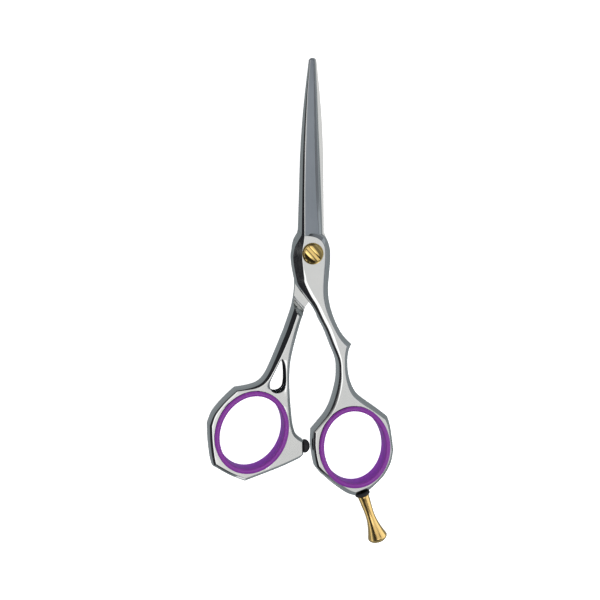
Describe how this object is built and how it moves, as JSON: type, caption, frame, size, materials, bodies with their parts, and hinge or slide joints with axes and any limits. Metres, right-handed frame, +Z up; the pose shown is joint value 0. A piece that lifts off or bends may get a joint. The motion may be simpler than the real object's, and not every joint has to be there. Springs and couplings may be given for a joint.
{
  "type": "hairdressing shears",
  "caption": "Straight-blade shears with a slotted tension screw, offset octagonal finger rings with soft inserts, a bumper and a flared finger rest.",
  "frame": {"origin": "on the pivot axis, at the plane the closed shears lie on: the flush end of the pivot screw", "axes": "+Y from the pivot to the blade tips, +X towards the finger ring, +Z up along the pivot axis on the side of the slotted screw head"},
  "size_m": [0.0607, 0.1575, 0.0073],
  "materials": {
    "polished_steel": "mirror polished stainless steel, satin ground outer face on each blade",
    "spring_steel": "plain",
    "gold": "polished gold plate",
    "nylon": "smooth",
    "purple_insert": "smooth, slightly glossy",
    "black_rubber": "matte"
  },
  "bodies": {
    "thumb_side": {"thumb_half": "polished_steel", "thumb_ring_insert": "purple_insert", "bumper": "black_rubber", "glide_washer": "nylon", "thread_lock_ring": "nylon"},
    "finger_side": {"finger_half": "polished_steel", "finger_ring_insert": "purple_insert", "tang": "gold", "tang_washer": "black_rubber", "pivot_bush": "nylon", "tension_spring": "spring_steel"},
    "tension_screw": {"pivot_screw": "gold"}
  },
  "joints": [
    {"name": "blade_pivot", "type": "hinge", "parent": "thumb_side", "child": "finger_side", "pos_m": [0, 0, 0], "axis": [0, 0, 1], "range_deg": [0, 90]},
    {"name": "tension_turn", "type": "hinge", "parent": "thumb_side", "child": "tension_screw", "pos_m": [0, 0, 0], "axis": [0, 0, 1], "range_deg": [-180, 180]}
  ]
}
